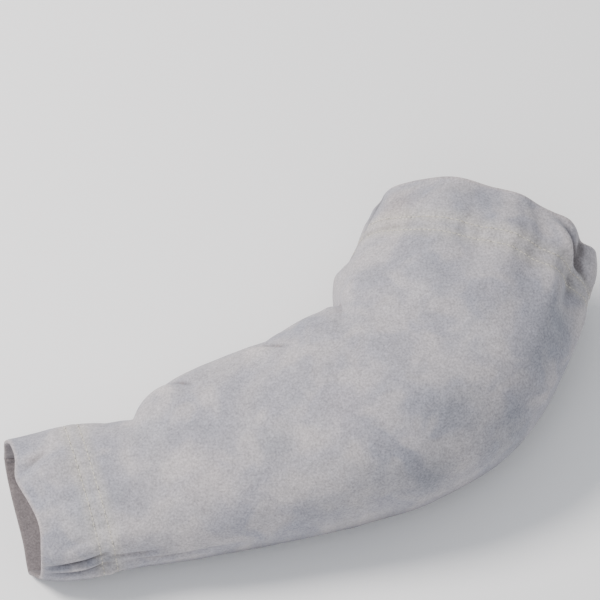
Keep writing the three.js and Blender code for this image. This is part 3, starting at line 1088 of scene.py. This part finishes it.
# %% Camera
CAMERA_ELEVATION = math.radians(60)
CAMERA_AZIMUTH = math.radians(-5)
CAMERA_DISTANCE = 1.8
FRAME_WIDTH = 0.427
SENSOR_MM = 36.0
AIM_MM = (0.0, 0.0, 45.0)
IMAGE_SIZE = 600
AIM_PIXEL = (306.0, 384.0)

towards_camera = Vector((
    math.sin(CAMERA_AZIMUTH) * math.cos(CAMERA_ELEVATION),
    -math.cos(CAMERA_AZIMUTH) * math.cos(CAMERA_ELEVATION),
    math.sin(CAMERA_ELEVATION),
))
camera_right = Vector((math.cos(CAMERA_AZIMUTH), math.sin(CAMERA_AZIMUTH), 0))
camera_up = towards_camera.cross(camera_right)
metres_a_pixel = FRAME_WIDTH / IMAGE_SIZE
middle = Vector(AIM_MM) * MM
middle += camera_right * (IMAGE_SIZE / 2 - AIM_PIXEL[0]) * metres_a_pixel
middle += camera_up * (AIM_PIXEL[1] - IMAGE_SIZE / 2) * metres_a_pixel
camera_data = bpy.data.cameras.new("camera")
camera_data.sensor_width = SENSOR_MM
camera_data.lens = SENSOR_MM * CAMERA_DISTANCE / FRAME_WIDTH
camera = bpy.data.objects.new("camera", camera_data)
camera.location = middle + towards_camera * CAMERA_DISTANCE
camera.rotation_euler = towards_camera.to_track_quat("Z", "Y").to_euler()
bpy.context.collection.objects.link(camera)
bpy.context.scene.camera = camera
print("lens", round(camera_data.lens), "mm")

# %% [markdown]
# The floor is a plain white sheet. A large soft lamp stands to the upper left and a weaker one
# fills from the front, and a pale surrounding keeps the shadows open, as in a studio tent.

# %% Floor and light
FLOOR_SIZE = 6.0
FLOOR_DROP = 0.2 * MM
FLOOR_TONE = "#ffffff"
FLOOR_ROUGHNESS = 0.9
LAMP_COLUMNS = ("name", "place", "size", "power", "tone")
LAMPS = [
    ("key_lamp", (-1.3, 0.4, 1.7), 0.7, 58.0, "#fffaf6"),
    ("fill_lamp", (-0.5, -1.3, 2.0), 1.6, 10.0, "#f4f6ff"),
]
TENT_TONE = "#eef1f6"
TENT_STRENGTH = 0.74


def pale_floor():
    half = FLOOR_SIZE / 2
    corners = [(-half, -half, -FLOOR_DROP), (half, -half, -FLOOR_DROP),
               (half, half, -FLOOR_DROP), (-half, half, -FLOOR_DROP)]
    mesh = bpy.data.meshes.new("floor")
    mesh.from_pydata(corners, [], [(0, 1, 2, 3)])
    material, tree = new_finish("pale_matte_floor")
    shader = add_node(tree, "ShaderNodeBsdfPrincipled",
                      inputs={"Base Color": linear(FLOOR_TONE), "Roughness": FLOOR_ROUGHNESS})
    add_node(tree, "ShaderNodeOutputMaterial", inputs={"Surface": shader.outputs["BSDF"]})
    mesh.materials.append(material)
    floor = bpy.data.objects.new("floor", mesh)
    bpy.context.collection.objects.link(floor)


def soft_lamp(lamp_row):
    """A round lamp that shines at the origin."""
    wanted = dict(zip(LAMP_COLUMNS, lamp_row))
    data = bpy.data.lights.new(wanted["name"], "AREA")
    data.shape = "DISK"
    data.size = wanted["size"]
    data.energy = wanted["power"]
    data.color = linear(wanted["tone"])[:3]
    lamp = bpy.data.objects.new(wanted["name"], data)
    lamp.location = wanted["place"]
    lamp.rotation_euler = Vector(wanted["place"]).to_track_quat("Z", "Y").to_euler()
    bpy.context.collection.objects.link(lamp)


pale_floor()
for row in LAMPS:
    soft_lamp(row)

world = bpy.data.worlds.new("studio_tent")
world.use_nodes = True
background = world.node_tree.nodes["Background"]
background.inputs["Color"].default_value = linear(TENT_TONE)
background.inputs["Strength"].default_value = TENT_STRENGTH
bpy.context.scene.world = world
print("lamps:", len(LAMPS), "and a tent of strength", TENT_STRENGTH)
